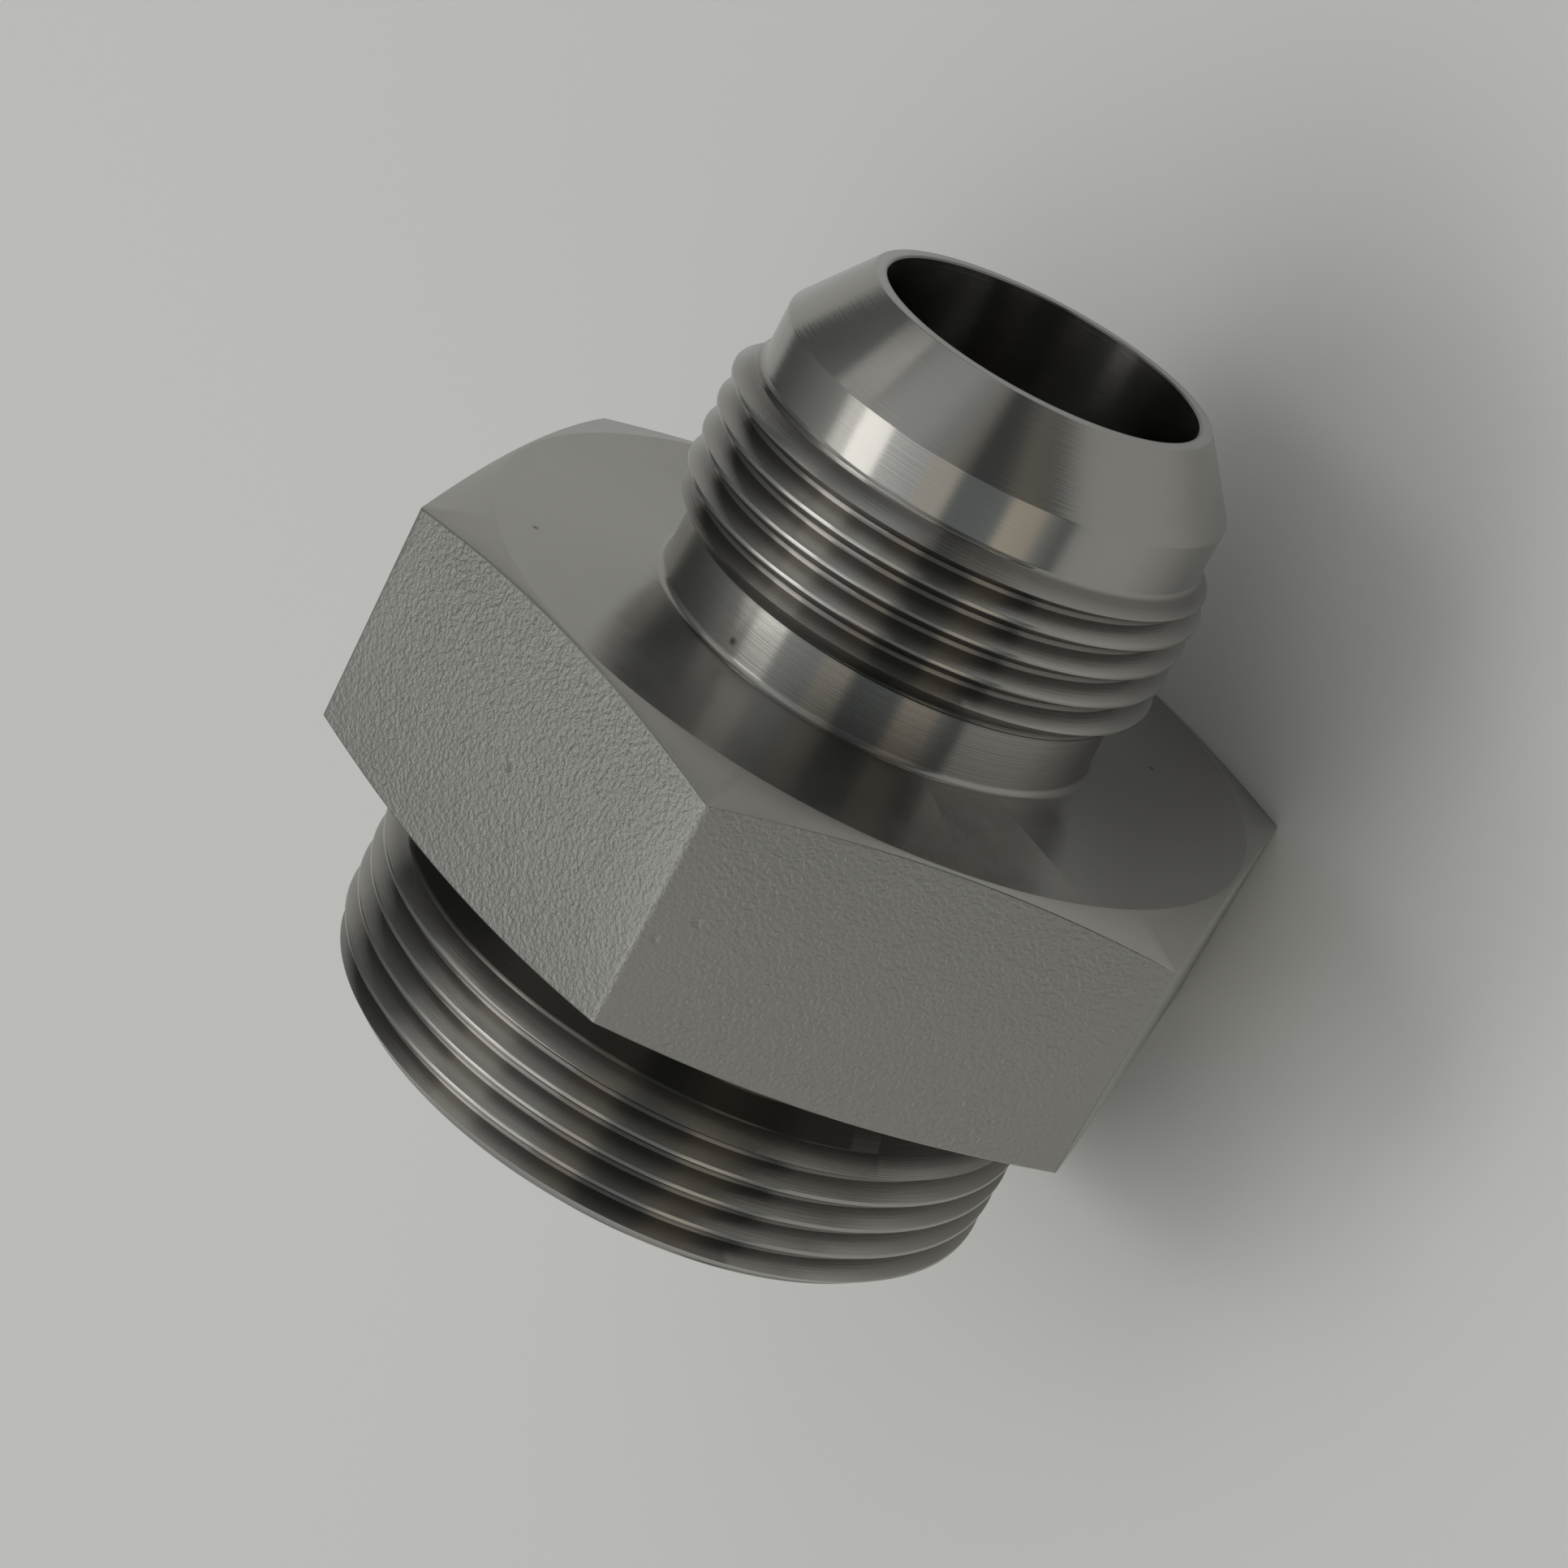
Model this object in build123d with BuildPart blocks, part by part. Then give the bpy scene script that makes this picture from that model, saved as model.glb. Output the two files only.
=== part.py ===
from build123d import *
import math
import os

# Straight hydraulic adapter turned from hexagon bar, in millimetres.
# The axis is X: the flared-tube end points to +X, the port end to -X.
# X = 0 is the hexagon face that seats on the port, and a flat faces up, along +Z.

# Hexagon, sized so that each flat stands clear of the port thread
hex_step = 3.175
hex_length = 18.0
hex_chamfer_angle = 16.0
hex_face_share = 0.99
corner_wear = 0.45

# Bore
bore_diameter = 21.6
port_mouth_chamfer = 1.0

# Thread form, 60 degrees, shared by both ends
threads_per_inch = 12
thread_angle = 60.0
inch = 25.4

# Port end, 1 7/8 inch thread
port_thread_diameter = 47.63
port_length = 15.0
port_end_chamfer = 1.25
port_neck_length = 3.2
port_neck_below_root = 1.25
port_groove_at_top = -4.76

# Tube end, 1 5/16 inch thread and 37 degree nose
tube_thread_diameter = 33.34
tube_length = 23.1
tube_neck_length = 4.1
tube_neck_below_root = 0.25
tube_neck_corner = 0.4
nose_diameter = 30.45
nose_band_length = 3.4
nose_cone_length = 4.7
nose_cone_angle = 37.0
tube_groove_at_top = 26.31

# How far the thread cutter, and the bar before turning, stand out past the finished surface
cutter_overlap = 0.9
turning_stock = 0.6

pitch = inch / threads_per_inch
thread_run_in = 1.5 * pitch
sharp_height = pitch / (2 * math.tan(math.radians(thread_angle / 2)))
crest_flat = pitch / 8
root_flat = pitch / 6
thread_depth = sharp_height * (1 - crest_flat / pitch - root_flat / pitch)

port_crest_radius = port_thread_diameter / 2
port_neck_radius = port_crest_radius - thread_depth - port_neck_below_root
port_neck_chamfer = port_crest_radius - port_neck_radius
port_end_radius = port_crest_radius - port_end_chamfer

flat_radius = port_crest_radius + hex_step
corner_radius = flat_radius / math.cos(math.radians(30))
hex_face_radius = flat_radius * hex_face_share
hex_chamfer_drop = (corner_radius - hex_face_radius) * math.tan(math.radians(hex_chamfer_angle))

tube_crest_radius = tube_thread_diameter / 2
tube_neck_radius = tube_crest_radius - thread_depth - tube_neck_below_root
tube_neck_chamfer = tube_crest_radius - tube_neck_radius
nose_radius = nose_diameter / 2
nose_tip_radius = nose_radius - nose_cone_length * math.tan(math.radians(nose_cone_angle))
nose_tip = hex_length + tube_length
nose_shoulder = nose_tip - nose_cone_length - nose_band_length
tube_thread_start = nose_shoulder - (tube_crest_radius - nose_radius)


def cut_thread(crest_radius, groove_at_top, first, last):
    """Cut one right-hand groove from about x = first to x = last.

    groove_at_top is an x where the groove's centre crosses the top of the fitting.
    """
    start = groove_at_top + math.ceil((first - groove_at_top) / pitch) * pitch
    root_radius = crest_radius - thread_depth
    top_radius = crest_radius + cutter_overlap
    top_width = root_flat + 2 * (top_radius - root_radius) * math.tan(math.radians(thread_angle / 2))
    with BuildLine() as groove_path:
        Helix(pitch, last - start, root_radius, center=(start, 0, 0), direction=(1, 0, 0))
    with BuildSketch(Plane(origin=(start, 0, 0), x_dir=(0, 0, 1), z_dir=(0, 1, 0))) as groove_profile:
        with BuildLine():
            Polyline(
                (root_radius, root_flat / 2),
                (top_radius, top_width / 2),
                (top_radius, -top_width / 2),
                (root_radius, -root_flat / 2),
                close=True,
            )
        make_face()
    sweep(sections=groove_profile.sketch, path=groove_path.line, is_frenet=True, mode=Mode.SUBTRACT)


with BuildPart() as fitting_body:
    # Hexagon bar with worn corners
    with BuildSketch(Plane.YZ):
        RegularPolygon(radius=flat_radius, side_count=6, major_radius=False)
    extrude(amount=hex_length)
    fillet(fitting_body.edges().filter_by(Axis.X), radius=corner_wear)

    # Round stock for both threads, longer than the finished ends
    with BuildSketch(Plane.YZ):
        Circle(port_crest_radius)
    extrude(amount=-(port_length + 2 * thread_run_in))
    with BuildSketch(Plane.YZ.offset(hex_length)):
        Circle(tube_crest_radius)
    extrude(amount=tube_length)

    # Both threads start in the stock that is turned away and run out over their necks
    cut_thread(port_crest_radius, port_groove_at_top, -port_length - thread_run_in, -port_neck_length / 2)
    cut_thread(
        tube_crest_radius,
        tube_groove_at_top,
        hex_length + tube_neck_length / 2,
        nose_shoulder + thread_run_in / 3,
    )

    # The turned outline, which leaves the thread crests as they are
    with BuildSketch(Plane.XY):
        with BuildLine():
            Polyline(
                (-port_length, 0),
                (-port_length, port_end_radius),
                (-port_length + port_end_chamfer + turning_stock, port_crest_radius + turning_stock),
                (-port_neck_length - port_neck_chamfer - turning_stock, port_crest_radius + turning_stock),
                (-port_neck_length, port_neck_radius),
                (0, port_neck_radius),
                (0, hex_face_radius),
                (hex_chamfer_drop, corner_radius),
                (hex_length - hex_chamfer_drop, corner_radius),
                (hex_length, hex_face_radius),
                (hex_length, tube_neck_radius + tube_neck_corner),
                (hex_length + tube_neck_corner, tube_neck_radius),
                (hex_length + tube_neck_length, tube_neck_radius),
                (
                    hex_length + tube_neck_length + tube_neck_chamfer + turning_stock,
                    tube_crest_radius + turning_stock,
                ),
                (tube_thread_start - turning_stock, tube_crest_radius + turning_stock),
                (nose_shoulder, nose_radius),
                (nose_tip - nose_cone_length, nose_radius),
                (nose_tip, nose_tip_radius),
                (nose_tip, 0),
                close=True,
            )
        make_face()
    revolve(axis=Axis.X, mode=Mode.INTERSECT)

    # Bore right through, with the port mouth broken
    with Locations(Plane.YZ.offset(nose_tip)):
        Hole(radius=bore_diameter / 2)
    port_mouth = fitting_body.edges().filter_by(GeomType.CIRCLE).filter_by(
        lambda edge: abs(edge.center().X + port_length) < 0.01 and abs(edge.radius - bore_diameter / 2) < 0.01
    )
    chamfer(port_mouth, length=port_mouth_chamfer)

fitting_body.part.label = "fitting_body"
os.makedirs("parts", exist_ok=True)
export_step(fitting_body.part, "parts/fitting_body.step")
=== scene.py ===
import math
import bpy
import bmesh
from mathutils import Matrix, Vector


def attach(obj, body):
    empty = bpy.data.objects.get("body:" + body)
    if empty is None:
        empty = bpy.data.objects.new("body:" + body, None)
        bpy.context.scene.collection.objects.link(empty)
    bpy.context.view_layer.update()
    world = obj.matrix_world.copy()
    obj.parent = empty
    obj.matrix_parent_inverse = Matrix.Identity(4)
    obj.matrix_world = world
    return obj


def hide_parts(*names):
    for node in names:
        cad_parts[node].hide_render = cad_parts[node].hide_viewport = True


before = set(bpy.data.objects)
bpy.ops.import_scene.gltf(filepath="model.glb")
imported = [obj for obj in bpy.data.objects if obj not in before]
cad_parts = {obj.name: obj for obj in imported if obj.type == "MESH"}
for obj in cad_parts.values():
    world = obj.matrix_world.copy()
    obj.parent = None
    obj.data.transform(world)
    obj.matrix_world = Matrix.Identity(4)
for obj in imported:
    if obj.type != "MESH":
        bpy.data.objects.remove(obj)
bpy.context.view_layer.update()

# Lengths are in mm and angles in degrees, unless a note says otherwise. X is the fitting's axis,
# with the nose at +X and x = 0 at the hexagon face on the port side, and +Z is up.
pitch = 25.4 / 12
roundSteps = 256  # steps in a full turn of the plain turned surfaces
cornerSteps = 3  # steps in the small roundings along turned edges
mergeDistance = 2e-6  # metres
onPlane = 1e-6  # metres


def mm(*values):
    return Vector([value / 1000 for value in values])


def linear(hexCode):
    channels = [int(hexCode[i:i + 2], 16) / 255 for i in (1, 3, 5)]
    return [c / 12.92 if c < 0.04045 else ((c + 0.055) / 1.055) ** 2.4 for c in channels] + [1]


def toObject(bm, name):
    mesh = bpy.data.meshes.new(name)
    bm.to_mesh(mesh)
    bm.free()
    made = bpy.data.objects.new(name, mesh)
    bpy.context.scene.collection.objects.link(made)
    return made


def meshOf(made):
    bm = bmesh.new()
    bm.from_mesh(made.data)
    return bm


def putBack(bm, made):
    bm.to_mesh(made.data)
    bm.free()


def bake(made):
    # Turns the modifiers of an object into its mesh
    depsgraph = bpy.context.evaluated_depsgraph_get()
    made.data = bpy.data.meshes.new_from_object(made.evaluated_get(depsgraph))
    made.modifiers.clear()


def combine(made, tool, operation):
    cut = made.modifiers.new(operation, "BOOLEAN")
    cut.operation = operation
    cut.solver = "EXACT"
    cut.object = tool
    bake(made)
    bpy.data.objects.remove(tool)


def cutOff(bm, place, away):
    # Takes off what lies past a plane and closes the cut with one face
    geometry = bm.verts[:] + bm.edges[:] + bm.faces[:]
    bmesh.ops.bisect_plane(bm, geom=geometry, dist=1e-8, plane_co=place, plane_no=away, clear_outer=True)
    rim = [edge for edge in bm.edges if edge.is_boundary
           and all(abs((vert.co - place).dot(away)) < onPlane for vert in edge.verts)]
    return bmesh.ops.contextual_create(bm, geom=rim)["faces"]


def roundedCorner(before, corner, after, radius, steps):
    # Points of the small arc that takes a corner off an outline
    inward = (Vector(before) - Vector(corner)).normalized()
    outward = (Vector(after) - Vector(corner)).normalized()
    half = inward.angle(outward) / 2
    centre = Vector(corner) + (inward + outward).normalized() * radius / math.sin(half)
    first = Vector(corner) + inward * radius / math.tan(half) - centre
    last = Vector(corner) + outward * radius / math.tan(half) - centre
    return [tuple(centre + first.lerp(last, step / steps).normalized() * radius) for step in range(steps + 1)]


def softOutline(corners):
    # Outline of (x, radius, rounding) corners. The last corner also counts as the one before the first.
    points = []
    for i, (x, radius, rounding) in enumerate(corners):
        if rounding:
            after = corners[(i + 1) % len(corners)]
            points += roundedCorner(corners[i - 1][:2], (x, radius), after[:2], rounding, cornerSteps)
        else:
            points.append((x, radius))
    return points


def turned(name, outline):
    # Spins an outline of (x, radius) points that starts and ends on the axis into a solid
    bm = bmesh.new()
    verts = [bm.verts.new(mm(x, 0, radius)) for x, radius in outline]
    edges = [bm.edges.new(pair) for pair in zip(verts, verts[1:])]
    bmesh.ops.spin(bm, geom=verts + edges, cent=(0, 0, 0), axis=(1, 0, 0), angle=math.tau, steps=roundSteps,
                   use_merge=True)
    bmesh.ops.remove_doubles(bm, verts=bm.verts, dist=1e-6)
    bmesh.ops.recalc_face_normals(bm, faces=bm.faces)
    return toObject(bm, name)


# Thread form shared by both ends: 60 degrees, 12 to the inch, right hand
thread = {
    "flank": 30,
    "crestFlat": pitch / 8,
    "rootFlat": pitch / 6,
    "crestRound": 0.05,
    "rootRound": 0.09,
    "roundSteps": 2,
    "stepsPerTurn": 200,
}
flankSlope = math.tan(math.radians(thread["flank"]))
threadDepth = (pitch - thread["crestFlat"] - thread["rootFlat"]) / 2 / flankSlope


def threadOutline(crestRadius):
    # One pitch from crest to crest, with the groove in the middle
    crest = (thread["crestFlat"] / 2 - pitch / 2, crestRadius)
    root = (-thread["rootFlat"] / 2, crestRadius - threadDepth)
    crestArc = roundedCorner((-pitch, crestRadius), crest, root, thread["crestRound"], thread["roundSteps"])
    rootArc = roundedCorner(crest, root, (0, root[1]), thread["rootRound"], thread["roundSteps"])
    half = [(-pitch / 2, crestRadius)] + crestArc + rootArc
    return half + [(-x, radius) for x, radius in reversed(half)]


def threadedBar(name, crestRadius, grooveAtTop, low, high):
    # One pitch of the thread, screwed along X and cut square at both ends
    start = grooveAtTop + math.floor((low - pitch - grooveAtTop) / pitch) * pitch
    bm = bmesh.new()
    verts = [bm.verts.new(mm(x + start, 0, radius)) for x, radius in threadOutline(crestRadius)]
    for pair in zip(verts, verts[1:]):
        bm.edges.new(pair)
    bar = toObject(bm, name)
    screw = bar.modifiers.new("Thread", "SCREW")
    screw.axis = "X"
    screw.steps = screw.render_steps = thread["stepsPerTurn"]
    screw.iterations = math.ceil((high - low) / pitch) + 2
    screw.screw_offset = pitch / 1000
    bake(bar)
    bm = meshOf(bar)
    bmesh.ops.remove_doubles(bm, verts=bm.verts, dist=mergeDistance)
    cutOff(bm, mm(low, 0, 0), Vector((-1, 0, 0)))
    cutOff(bm, mm(high, 0, 0), Vector((1, 0, 0)))
    bmesh.ops.triangulate(bm, faces=[face for face in bm.faces if len(face.verts) == 4])
    bmesh.ops.recalc_face_normals(bm, faces=bm.faces)
    putBack(bm, bar)
    return bar


# Hexagon, 54 mm across flats: turned blank with both faces chamfered, then six flats cut off it
hexagon = {
    "flatRadius": 26.99,
    "length": 18.0,
    "chamferAngle": 16.0,
    "faceShare": 0.99,
    "cornerRadius": 31.09,
    "edgeWear": 0.1,
}
faceRadius = hexagon["flatRadius"] * hexagon["faceShare"]
chamferDrop = (hexagon["cornerRadius"] - faceRadius) * math.tan(math.radians(hexagon["chamferAngle"]))
body = turned("fitting", [
    (0, 0),
    (0, faceRadius),
    (chamferDrop, hexagon["cornerRadius"]),
    (hexagon["length"] - chamferDrop, hexagon["cornerRadius"]),
    (hexagon["length"], faceRadius),
    (hexagon["length"], 0),
])
bm = meshOf(body)
flats = []
for side in range(6):
    turn = side * math.tau / 6
    away = Vector((0, math.sin(turn), math.cos(turn)))
    flats += cutOff(bm, away * hexagon["flatRadius"] / 1000, away)
rims = {edge for flat in flats for edge in flat.edges}
bmesh.ops.bevel(bm, geom=list(rims), offset=hexagon["edgeWear"] / 1000, segments=2, profile=0.5,
                affect="EDGES", material=-1)
bmesh.ops.recalc_face_normals(bm, faces=bm.faces)
putBack(bm, body)
print("hexagon", len(body.data.polygons))

# How both ends are cut from threaded bar
rooted = 2.0  # each end reaches this far into the hexagon
spare = 2.0  # the bar is this much longer than the end cut from it
clear = 0.6  # the turning outline stands this far off the thread crests

# Tube end: neck, 1 5/16-12 thread, plain band and 37 degree nose
tube = {
    "crestRadius": 16.67,
    "grooveAtTop": 26.31,
    "length": 23.1,
    "neckLength": 4.1,
    "neckBelowRoot": 0.25,
    "neckFillet": 0.5,
    "filletSteps": 5,
    "noseRadius": 15.225,
    "bandLength": 3.4,
    "coneLength": 4.7,
    "coneAngle": 37.0,
    "softEdge": 0.15,
    "fineEdge": 0.12,
}
tip = hexagon["length"] + tube["length"]
tipRadius = tube["noseRadius"] - tube["coneLength"] * math.tan(math.radians(tube["coneAngle"]))
shoulder = tip - tube["coneLength"] - tube["bandLength"]
leadStart = shoulder - (tube["crestRadius"] - tube["noseRadius"])
neckEnd = hexagon["length"] + tube["neckLength"]
neckRadius = tube["crestRadius"] - threadDepth - tube["neckBelowRoot"]
tubeEnd = threadedBar("tubeEnd", tube["crestRadius"], tube["grooveAtTop"],
                      hexagon["length"] - rooted - spare, tip + spare)
neckFillet = roundedCorner((hexagon["length"], faceRadius), (hexagon["length"], neckRadius),
                           (neckEnd, neckRadius), tube["neckFillet"], tube["filletSteps"])
tubeRoot = [(hexagon["length"] - rooted, 0), (hexagon["length"] - rooted, neckFillet[0][1])]
tubeOutline = softOutline([
    (neckEnd, neckRadius, tube["softEdge"]),
    (neckEnd + tube["crestRadius"] - neckRadius + clear, tube["crestRadius"] + clear, 0),
    (leadStart - clear, tube["crestRadius"] + clear, 0),
    (shoulder, tube["noseRadius"], tube["fineEdge"]),
    (tip - tube["coneLength"], tube["noseRadius"], tube["softEdge"]),
    (tip, tipRadius, tube["fineEdge"]),
    (tip, 0, 0),
])
combine(tubeEnd, turned("tubeTurning", tubeRoot + neckFillet + tubeOutline), "INTERSECT")
print("tube end", len(tubeEnd.data.polygons))

# Port end: neck for the seal ring and 1 7/8-12 thread
port = {
    "crestRadius": 23.815,
    "grooveAtTop": -4.76,
    "length": 15.0,
    "neckLength": 3.2,
    "neckBelowRoot": 1.25,
    "endChamfer": 1.25,
    "softEdge": 0.15,
}
portNeckRadius = port["crestRadius"] - threadDepth - port["neckBelowRoot"]
portRunOut = -port["neckLength"] - (port["crestRadius"] - portNeckRadius)
portEnd = threadedBar("portEnd", port["crestRadius"], port["grooveAtTop"],
                      -port["length"] - spare, rooted + spare)
portOutline = softOutline([
    (-port["length"], 0, 0),
    (-port["length"], port["crestRadius"] - port["endChamfer"], port["softEdge"]),
    (-port["length"] + port["endChamfer"] + clear, port["crestRadius"] + clear, 0),
    (portRunOut - clear, port["crestRadius"] + clear, 0),
    (-port["neckLength"], portNeckRadius, port["softEdge"]),
    (rooted, portNeckRadius, 0),
    (rooted, 0, 0),
])
combine(portEnd, turned("portTurning", portOutline), "INTERSECT")
print("port end", len(portEnd.data.polygons))

# Bore right through, its port mouth broken by 1 mm and its nose rim barely
bore = {
    "radius": 10.8,
    "portMouth": 1.0,
    "noseRim": 0.1,
    "past": 1.0,  # how far the cutting tool stands out past both ends
}
combine(body, tubeEnd, "UNION")
combine(body, portEnd, "UNION")
combine(body, turned("boreTool", [
    (-port["length"] - bore["past"], 0),
    (-port["length"] - bore["past"], bore["radius"] + bore["portMouth"] + bore["past"]),
    (-port["length"] + bore["portMouth"], bore["radius"]),
    (tip - bore["noseRim"], bore["radius"]),
    (tip + bore["past"], bore["radius"] + bore["noseRim"] + bore["past"]),
    (tip + bore["past"], 0),
]), "DIFFERENCE")
print("body", len(body.data.polygons))

# Smooth shading that stays crisp at real edges; the flats get the second material
shading = {
    "sharpAngle": 32,
    "flatNormal": 0.999,  # least share of a face's normal that lies across the axis on a flat
    "flatDepth": 0.01,
    "chamferWidth": 0.02,
}
bm = meshOf(body)
bmesh.ops.remove_doubles(bm, verts=bm.verts, dist=mergeDistance)
bmesh.ops.dissolve_degenerate(bm, edges=bm.edges, dist=1e-6)
bmesh.ops.recalc_face_normals(bm, faces=bm.faces)
print("open edges", sum(not edge.is_manifold for edge in bm.edges), "volume", bm.calc_volume() * 1e9)
onFlat = (hexagon["flatRadius"] - shading["flatDepth"]) / 1000
for face in bm.faces:
    face.smooth = True
    away = Vector((0, face.normal.y, face.normal.z))
    across = away.length > shading["flatNormal"]
    face.material_index = int(across and face.calc_center_median().dot(away.normalized()) > onFlat)
for edge in bm.edges:
    rimGaps = [abs(math.hypot(vert.co.y, vert.co.z) * 1000 - faceRadius) for vert in edge.verts]
    onChamfer = max(rimGaps) < shading["chamferWidth"]
    edge.smooth = edge.calc_face_angle() < math.radians(shading["sharpAngle"]) and not onChamfer
putBack(bm, body)

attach(body, "root")
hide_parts("fitting_body")


def node(tree, kind, settings=None, **values):
    # Adds one shader node and gives the first output it has in use. A value is a number, a colour or
    # another node's output, named for its socket with underscores as spaces, or "in" and its place.
    made = tree.nodes.new("ShaderNode" + kind)
    for key, value in (settings or {}).items():
        setattr(made, key, value)
    for key, value in values.items():
        socket = made.inputs[int(key[2:])] if key.startswith("in") else made.inputs[key.replace("_", " ")]
        if isinstance(value, bpy.types.NodeSocket):
            tree.links.new(value, socket)
        else:
            socket.default_value = value
    return next(output for output in made.outputs if output.enabled)


multiply = {"operation": "MULTIPLY"}
maximum = {"operation": "MAXIMUM"}
subtract = {"operation": "SUBTRACT"}
colourMix = {"data_type": "RGBA"}


def newMaterial(name):
    made = bpy.data.materials.new(name)
    made.use_nodes = True
    return made, made.node_tree, made.node_tree.nodes["Principled BSDF"]


def steelCoordinates(tree):
    # Object position in metres, then the place along the axis and the distance from it, in mm
    position = node(tree, "TexCoord").node.outputs["Object"]
    across = node(tree, "VectorMath", multiply, in0=position, in1=(0, 1000, 1000))
    radial = node(tree, "VectorMath", {"operation": "LENGTH"}, in0=across)
    along = node(tree, "Math", multiply, in0=node(tree, "SeparateXYZ", Vector=position), in1=1000)
    return position, along, radial


def zone(tree, along, rise, fall):
    # Goes from 0 to 1 over the first span along the axis and back to 0 over the second
    up = node(tree, "MapRange", in0=along, in1=rise[0], in2=rise[1], in3=0.0, in4=1.0)
    down = node(tree, "MapRange", in0=along, in1=fall[0], in2=fall[1], in3=1.0, in4=0.0)
    return node(tree, "Math", multiply, in0=up, in1=down)


def marks(tree, position, places):
    # 1 in the middle of each small mark and 0 outside it. Places are (x, y, z) and a radius, in mm.
    total = 0.0
    for place, radius in places:
        away = node(tree, "VectorMath", {"operation": "DISTANCE"}, in0=position, in1=mm(*place))
        mark = node(tree, "MapRange", in0=away, in1=0.0, in2=radius / 1000, in3=1.0, in4=0.0)
        total = node(tree, "Math", in0=mark, in1=total)
    return total


# Turned and threaded stainless steel: the tool left fine rings that smear reflections along the axis
# and keep them sharp round it, which is what makes the long narrow glints. Painted shade darkens the
# bottom of the threads against their crests, the bore more, and the neck under the hexagon most.
turning = {
    "steel": "#aaa8a4",
    # colour of the painted shade in the thread roots
    "oiled": "#827f7b",
    # colour of the painted shade in the bore and in the neck under the hexagon
    "dirty": "#4a4845",
    "speck": "#2b2a28",
    "ringsPerMm": 7.0,
    "ringDepth": 0.02,
    "ringStrength": 0.5,
    "smearsPerMm": 0.26,
    "smearSpan": (0.35, 0.7),
    "roughness": (0.21, 0.25),
    "anisotropy": 0.95,
    "anisotropyTurn": 0.25,  # a quarter turn, so that the smear runs along the axis
    "portThread": ((-15.0, -14.8), (-3.3, -3.2)),
    "portRootToCrest": (22.9, 23.75),
    "tubeThread": ((22.0, 22.2), (32.7, 32.9)),
    "tubeRootToCrest": (15.8, 16.6),
    "underHexagon": ((-5.2, -4.5), (-0.2, -0.1)),
    "boreWall": (10.9, 11.1),
    # share of painted shade on the bore wall
    "boreDirt": 0.5,
    "specks": [((18, -11.28, -16.8), 0.3), ((18, 12.28, 20.57), 0.3), ((19.2, -1.44, 14.95), 0.35)],
}
turnedSteel, tree, shader = newMaterial("stainless steel, turned and threaded")
position, along, radial = steelCoordinates(tree)
# Painted shade: the thread roots are darkened against their crests
low, high = turning["portRootToCrest"]
portRoots = node(tree, "Math", multiply, in0=zone(tree, along, *turning["portThread"]),
                 in1=node(tree, "MapRange", in0=radial, in1=low, in2=high, in3=1.0, in4=0.0))
low, high = turning["tubeRootToCrest"]
tubeRoots = node(tree, "Math", multiply, in0=zone(tree, along, *turning["tubeThread"]),
                 in1=node(tree, "MapRange", in0=radial, in1=low, in2=high, in3=1.0, in4=0.0))
oiled = node(tree, "Math", maximum, in0=portRoots, in1=tubeRoots)
# Painted shade: the bore wall and the neck under the hexagon are darkened
low, high = turning["boreWall"]
inBore = node(tree, "MapRange", in0=radial, in1=low, in2=high, in3=turning["boreDirt"], in4=0.0)
dirty = node(tree, "Math", maximum, in0=inBore, in1=zone(tree, along, *turning["underHexagon"]))
colour = linear(turning["steel"])
for share, name in (
    (oiled, "oiled"),
    (dirty, "dirty"),
    (marks(tree, position, turning["specks"]), "speck"),
):
    colour = node(tree, "Mix", colourMix, in0=share, in6=colour, in7=linear(turning[name]))
tree.links.new(colour, shader.inputs["Base Color"])
shader.inputs["Metallic"].default_value = 1
shader.inputs["Anisotropic"].default_value = turning["anisotropy"]
shader.inputs["Anisotropic Rotation"].default_value = turning["anisotropyTurn"]
roundAxis = node(tree, "Tangent", {"direction_type": "RADIAL", "axis": "X"})
tree.links.new(roundAxis, shader.inputs["Tangent"])
smears = node(tree, "TexNoise", Vector=position, Scale=1000 * turning["smearsPerMm"], Detail=3.0)
low, high = turning["smearSpan"]
smooth, rough = turning["roughness"]
roughness = node(tree, "MapRange", in0=smears, in1=low, in2=high, in3=smooth, in4=rough)
tree.links.new(roughness, shader.inputs["Roughness"])
rings = node(tree, "TexNoise", {"noise_dimensions": "2D"}, Vector=node(tree, "CombineXYZ", X=along, Y=radial),
             Scale=turning["ringsPerMm"], Detail=3.0, Roughness=0.6)
ringBump = node(tree, "Bump", Strength=turning["ringStrength"], Distance=turning["ringDepth"] / 1000,
                Height=rings)
tree.links.new(ringBump, shader.inputs["Normal"])

# Cold drawn bar left as it came on the flats: a matt grain of bumps about a third of a millimetre
# across, strongest in the middle of a flat and rubbed a little smoother towards its edges.
drawing = {
    "steel": "#acaba7",
    "roughness": 0.58,
    "grainsPerMm": 3.5,
    "grainDepth": 0.19,
    "middle": 9.0,
    "towardsFace": ((7.5, 9.0), (1.0, 0.7)),
    "towardsCorner": ((29.0, 30.9), (1.0, 0.6)),
    "dents": [((9.69, -16.98, 24.57), 0.45), ((7.76, -16.06, 26.16), 0.4), ((8.75, -0.58, 26.99), 0.35)],
}
flatSteel, tree, shader = newMaterial("stainless steel, cold drawn hexagon bar")
position, along, radial = steelCoordinates(tree)
fromMiddle = node(tree, "Math", {"operation": "ABSOLUTE"},
                  in0=node(tree, "Math", subtract, in0=along, in1=drawing["middle"]))
(low, high), (strong, weak) = drawing["towardsFace"]
faceRelief = node(tree, "MapRange", in0=fromMiddle, in1=low, in2=high, in3=strong, in4=weak)
(low, high), (strong, weak) = drawing["towardsCorner"]
cornerRelief = node(tree, "MapRange", in0=radial, in1=low, in2=high, in3=strong, in4=weak)
relief = node(tree, "Math", multiply, in0=cornerRelief, in1=faceRelief)
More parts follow.
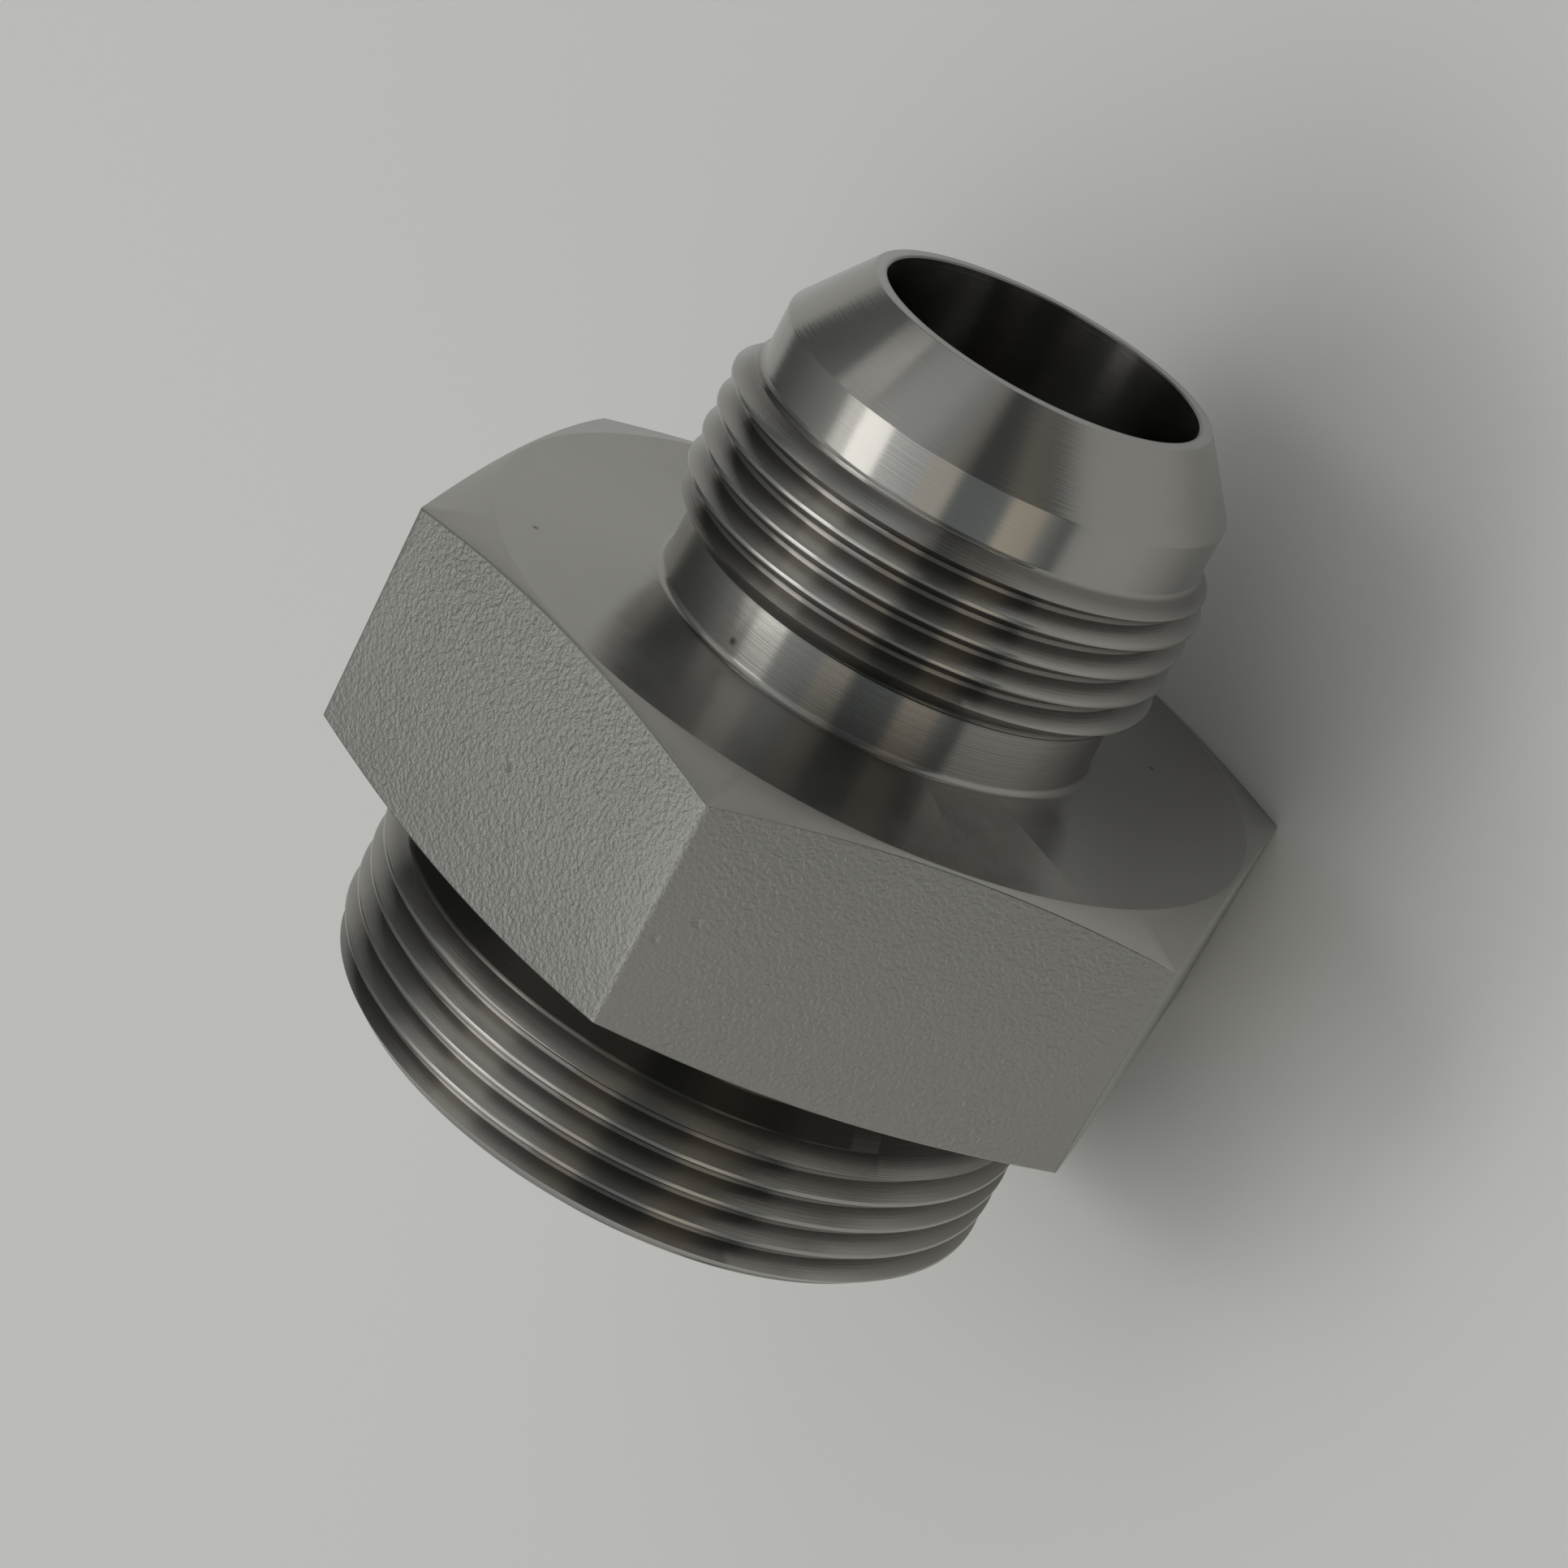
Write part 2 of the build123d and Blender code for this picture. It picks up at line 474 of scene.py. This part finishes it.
grain = node(tree, "TexNoise", Vector=position, Scale=1000 * drawing["grainsPerMm"], Detail=2.0,
             Roughness=0.5)
dented = node(tree, "Math", subtract, in0=grain, in1=marks(tree, position, drawing["dents"]))
grainBump = node(tree, "Bump", Strength=relief, Distance=drawing["grainDepth"] / 1000, Height=dented)
tree.links.new(grainBump, shader.inputs["Normal"])
shader.inputs["Metallic"].default_value = 1
shader.inputs["Base Color"].default_value = linear(drawing["steel"])
shader.inputs["Roughness"].default_value = drawing["roughness"]

body.data.materials.append(turnedSteel)
body.data.materials.append(flatSteel)
print("steel on the fitting")

# Pale uncoated card that the fitting lies on: matt, so it shows only the soft shadow
card = {"colour": "#f3f3f2", "roughness": 0.8, "halfWidth": 3000}
bm = bmesh.new()
bmesh.ops.create_grid(bm, x_segments=1, y_segments=1, size=card["halfWidth"] / 1000)
bmesh.ops.translate(bm, verts=bm.verts, vec=mm(0, 0, -hexagon["flatRadius"]))
floor = toObject(bm, "floor")
floorCard, tree, shader = newMaterial("pale matt card")
shader.inputs["Base Color"].default_value = linear(card["colour"])
shader.inputs["Roughness"].default_value = card["roughness"]
floor.data.materials.append(floorCard)

view = {
    "lens": 84.514,
    "place": (100.067, -136.526, 173.336),
    "turn": (2.30821, 43.86041, -52.66605),
    "nearest": 10,
}
camera = bpy.data.objects.new("camera", bpy.data.cameras.new("camera"))
bpy.context.scene.collection.objects.link(camera)
camera.data.lens = view["lens"]
camera.data.clip_start = view["nearest"] / 1000
camera.location = mm(*view["place"])
camera.rotation_euler = [math.radians(angle) for angle in view["turn"]]
bpy.context.scene.camera = camera

# Soft lamps 1 metre away, their sizes in metres: one high to the left, one nearly straight up, and a
# weak one past the nose
lampColour = linear("#fffcf8")[:3]
lamps = {
    "left lamp": {"direction": (-0.375, 0.165, 0.912), "size": (0.9, 0.28), "power": 1.0},
    "top lamp": {"direction": (0, 0.225, 0.974), "size": (0.6, 0.3), "power": 0.8},
    "far lamp": {"direction": (0.66, 0.54, 0.5), "size": (0.3, 0.2), "power": 0.12},
}
for name, values in lamps.items():
    lamp = bpy.data.objects.new(name, bpy.data.lights.new(name, "AREA"))
    bpy.context.scene.collection.objects.link(lamp)
    lamp.data.energy = values["power"]
    lamp.data.shape = "RECTANGLE"
    lamp.data.size, lamp.data.size_y = values["size"]
    lamp.data.color = lampColour
    lamp.location = Vector(values["direction"]).normalized()
    lamp.rotation_euler = Vector(values["direction"]).to_track_quat("Z", "Y").to_euler()

# The room as the steel sees it, by the angle round the fitting's axis from the far side of the table:
# a dim far wall, a brighter ceiling, a dark gap, a window low on the near side, and the wall under it.
# Past the nose it is darker, most of all where the photographer stands.
room = {
    "bands": [
        (0, "#535553"), (20, "#6f7170"), (45, "#999c9b"), (62, "#c4c5c3"), (90, "#c6cacb"),
        (105, "#babfc1"), (108, "#dad6cc"), (121, "#dcd7ce"), (124, "#7f8687"), (147, "#8a9091"),
        (150, "#dcd4c6"), (165, "#d4ccbe"), (168, "#a3a4a2"), (178, "#6d7272"),
    ],
    "photographer": ((1.55, 2.1), (0.88, 0.28)),  # span in radians, then the share of light left
    "pastNose": (-0.1, 0.25),  # span of the direction's X
}
world = bpy.data.worlds.new("room")
bpy.context.scene.world = world
world.use_nodes = True
tree = world.node_tree
direction = node(tree, "TexCoord").node.outputs["Generated"]
split = node(tree, "SeparateXYZ", Vector=direction).node
angleRound = node(tree, "Math", {"operation": "ARCTAN2"}, in0=split.outputs["Z"], in1=split.outputs["Y"])
halfTurn = node(tree, "MapRange", in0=angleRound, in1=0.0, in2=math.pi, in3=0.0, in4=1.0)
walls = node(tree, "ValToRGB", Fac=halfTurn)
stops = walls.node.color_ramp.elements
for i, (angle, colour) in enumerate(room["bands"]):
    stop = stops[i] if i < 2 else stops.new(angle / 180)
    stop.position = angle / 180
    stop.color = linear(colour)
(low, high), (far, near) = room["photographer"]
nearSide = node(tree, "MapRange", in0=angleRound, in1=low, in2=high, in3=far, in4=near)
low, high = room["pastNose"]
light = node(tree, "MapRange", in0=split.outputs["X"], in1=low, in2=high, in3=1.0, in4=nearSide)
seen = node(tree, "Mix", colourMix, in0=light, in6=(0, 0, 0, 1), in7=walls)
tree.links.new(seen, tree.nodes["Background"].inputs["Color"])
print("floor, camera, lamps and room")

bpy.context.scene.view_settings.view_transform = "Standard"
